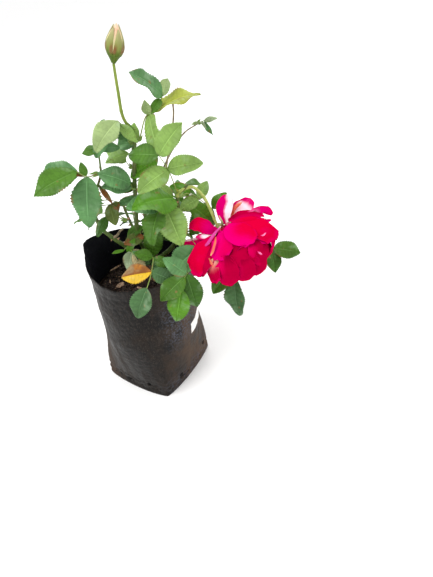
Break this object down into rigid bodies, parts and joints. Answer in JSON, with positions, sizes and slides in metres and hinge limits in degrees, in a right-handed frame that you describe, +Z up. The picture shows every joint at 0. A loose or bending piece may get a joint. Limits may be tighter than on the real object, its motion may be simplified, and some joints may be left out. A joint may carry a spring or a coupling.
{
  "type": "potted rose bush",
  "caption": "Young rose bush with an open red bloom and a bud on green canes, rooted in a film grow bag of potting mix that stands on its flat bottom.",
  "frame": {"origin": "centre of the bag's flat underside", "axes": "+Z up along the bag and the tallest cane, -Y towards the side that the bloom faces, +X towards the bloom's side"},
  "size_m": [0.2668, 0.1954, 0.4131],
  "materials": {
    "bag_film": "thin black film, dusty outside and crumpled",
    "potting_mix": "dark moist mix of compost and bark, rough",
    "woody_crown": "brown bark with fine cracks",
    "green_cane": "green young bark, smooth, with prickles",
    "soft_stalk": "yellow-green young skin",
    "dead_wood": "dry grey-brown twig",
    "leaves": "semi-matt leaf green",
    "bud": "green sepals with a reddish flush",
    "petals": "velvety crimson to magenta"
  },
  "bodies": {
    "root": {"grow_bag": "bag_film", "potting_soil": "potting_mix", "main_stem": "woody_crown", "bud_cane": "green_cane", "second_cane": "green_cane", "left_cane": "green_cane", "flower_cane": "green_cane", "back_cane": "green_cane", "back_left_cane": "green_cane", "left_shoot": "green_cane", "bud_stalk": "soft_stalk", "flower_stalk": "soft_stalk", "dry_twig": "dead_wood", "dead_stub": "dead_wood", "top_leaf": "leaves", "light_leaf": "leaves", "fan_leaf_left": "leaves", "fan_leaf_right": "leaves", "middle_leaf": "leaves", "shoot_leaf": "leaves", "left_leaf": "leaves", "front_leaf": "leaves", "inner_leaf": "leaves", "bright_leaf": "leaves", "low_front_leaf": "leaves", "right_leaf": "leaves", "apron_leaf": "leaves", "low_right_leaf": "leaves", "twig_leaf": "leaves", "far_right_leaf": "leaves", "rim_leaf": "leaves", "pale_leaf": "leaves", "wilted_leaf": "leaves", "low_inner_leaf": "leaves", "dark_inner_leaf": "leaves", "back_cane_leaf_1": "leaves", "back_cane_leaf_2": "leaves", "back_cane_leaf_3": "leaves", "back_cane_leaf_4": "leaves", "back_left_cane_leaf_1": "leaves", "back_left_cane_leaf_2": "leaves", "flower_cane_leaf_1": "leaves", "rose_bud": "bud", "rose_bloom": "petals"}
  },
  "joints": []
}
